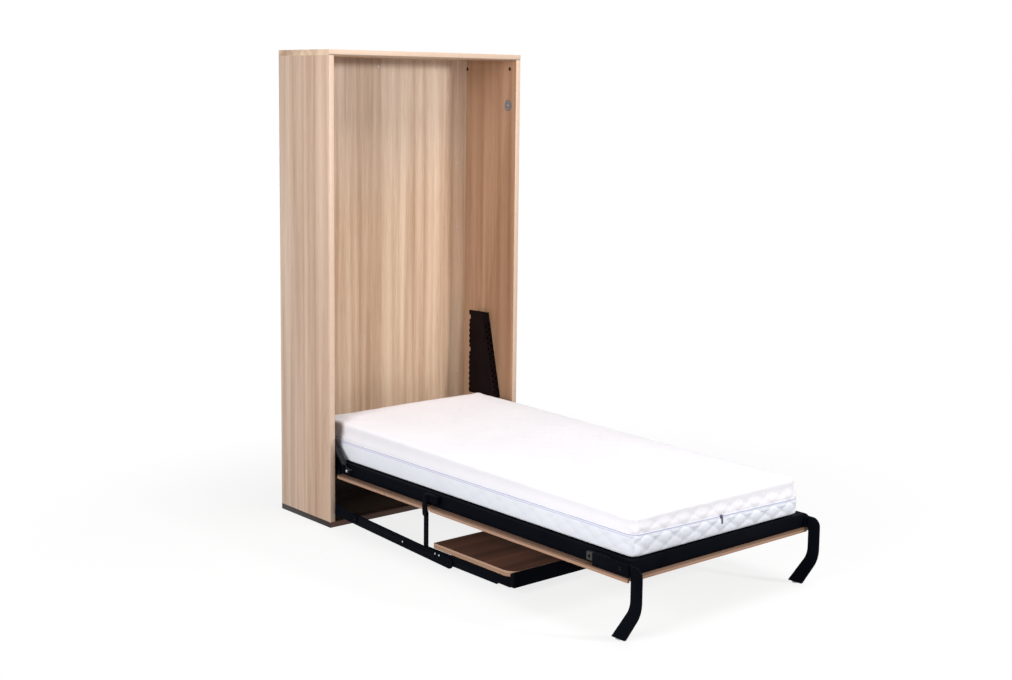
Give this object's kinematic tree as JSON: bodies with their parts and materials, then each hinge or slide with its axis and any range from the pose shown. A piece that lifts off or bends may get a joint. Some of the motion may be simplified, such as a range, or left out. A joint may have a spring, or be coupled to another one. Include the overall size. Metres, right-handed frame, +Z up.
{
  "type": "wall bed",
  "caption": "Single wall bed that folds up into an upright wooden cabinet, with a level desk that swings up under it, folding bar legs and a quilted mattress.",
  "frame": {"origin": "on the floor, under the middle of the overall box with the bed down", "axes": "+Z up, +Y to the wall, -Y to the foot of the bed, +X to the right seen from the foot"},
  "size_m": [1.085, 2.274, 2.105],
  "materials": {
    "board_wood": "vertical light oak grain, satin",
    "face_wood": "light oak grain, satin",
    "desk_wood": "brown oak grain, satin",
    "cleat_wood": "raw board",
    "slat_wood": "clear birch",
    "black_steel": "satin black powder coat",
    "tower_steel": "satin dark powder coat",
    "zinc": "bright zinc",
    "plate_zinc": "grey",
    "spring_steel": "oiled",
    "black_plastic": "matte",
    "white_plastic": "matte",
    "grey_plastic": "matte",
    "mattress_cover": "quilted white cover"
  },
  "bodies": {
    "cabinet": {"left_side_panel": "board_wood", "right_side_panel": "board_wood", "top_panel": "board_wood", "bottom_panel": "board_wood", "back_panel": "board_wood", "top_cleat": "cleat_wood", "side_cleats": "cleat_wood", "back_panel_screws": "zinc", "corner_cams": "black_plastic", "cam_bolts": "zinc", "left_pivot_plate": "black_steel", "right_pivot_plate": "black_steel", "pivot_plate_screws": "zinc", "left_pivot_pin": "zinc", "right_pivot_pin": "zinc", "left_spring_tower": "tower_steel", "right_spring_tower": "tower_steel", "tower_screws": "zinc", "spring_hook_bars": "zinc", "left_lift_spring": "spring_steel", "right_lift_spring": "spring_steel", "left_latch_plate": "plate_zinc", "right_latch_plate": "plate_zinc", "latch_screws": "zinc", "left_arm_plate": "black_steel", "right_arm_plate": "black_steel", "arm_pivot_bolts": "zinc"},
    "bed": {"left_side_rail": "black_steel", "right_side_rail": "black_steel", "foot_rail": "black_steel", "head_rail": "black_steel", "cross_rail": "black_steel", "slats": "slat_wood", "slat_holders": "black_plastic", "face_panel_foot": "face_wood", "face_panel_head": "face_wood", "face_screws": "zinc", "mattress": "mattress_cover", "pivot_lugs": "black_steel", "pivot_bushes": "white_plastic", "spring_anchor_pins": "zinc", "latch_catches": "black_plastic", "left_leg_bracket": "black_steel", "right_leg_bracket": "black_steel", "leg_pivot_bolts": "zinc", "link_brackets": "black_steel", "link_pins": "zinc"},
    "left_leg": {"left_leg": "black_steel", "left_leg_glide": "white_plastic"},
    "right_leg": {"right_leg": "black_steel", "right_leg_glide": "grey_plastic"},
    "left_arm": {"left_desk_arm": "black_steel"},
    "right_arm": {"right_desk_arm": "black_steel"},
    "desk": {"left_desk_side": "black_steel", "right_desk_side": "black_steel", "desk_front_tube": "black_steel", "desk_top": "desk_wood", "desk_fasteners": "zinc"},
    "left_latch": {"left_latch_pin": "zinc"},
    "right_latch": {"right_latch_pin": "zinc"}
  },
  "joints": [
    {"name": "bed_fold", "type": "hinge", "parent": "cabinet", "child": "bed", "pos_m": [0, 0.753, 0.24], "axis": [-1, 0, 0], "range_deg": [0, 90], "deforming": ["left_lift_spring", "right_lift_spring"]},
    {"name": "left_leg_fold", "type": "hinge", "parent": "bed", "child": "left_leg", "pos_m": [-0.4975, -1.041, 0.265], "axis": [1, 0, 0], "range_deg": [0, 69]},
    {"name": "right_leg_fold", "type": "hinge", "parent": "bed", "child": "right_leg", "pos_m": [0.4975, -1.041, 0.265], "axis": [1, 0, 0], "range_deg": [0, 69]},
    {"name": "left_arm_swing", "type": "hinge", "parent": "cabinet", "child": "left_arm", "pos_m": [-0.5111, 0.59, 0.069], "axis": [-1, 0, 0], "range_deg": [0, 90]},
    {"name": "right_arm_swing", "type": "hinge", "parent": "cabinet", "child": "right_arm", "pos_m": [0.5111, 0.59, 0.069], "axis": [-1, 0, 0], "range_deg": [0, 90]},
    {"name": "desk_level", "type": "hinge", "parent": "left_arm", "child": "desk", "pos_m": [-0.5035, -0.07132, 0.039], "axis": [1, 0, 0], "range_deg": [0, 90]},
    {"name": "left_latch_slide", "type": "slide", "parent": "cabinet", "child": "left_latch", "axis": [1, 0, 0], "range_m": [0, 0.012]},
    {"name": "right_latch_slide", "type": "slide", "parent": "cabinet", "child": "right_latch", "axis": [-1, 0, 0], "range_m": [0, 0.012]}
  ],
  "couplings": [
    {"joint": "left_leg_fold", "follows": "bed_fold", "ratio": 0.766},
    {"joint": "right_leg_fold", "follows": "bed_fold", "ratio": 0.766},
    {"joint": "left_arm_swing", "follows": "bed_fold", "ratio": 1},
    {"joint": "right_arm_swing", "follows": "bed_fold", "ratio": 1},
    {"joint": "desk_level", "follows": "bed_fold", "ratio": 1}
  ]
}
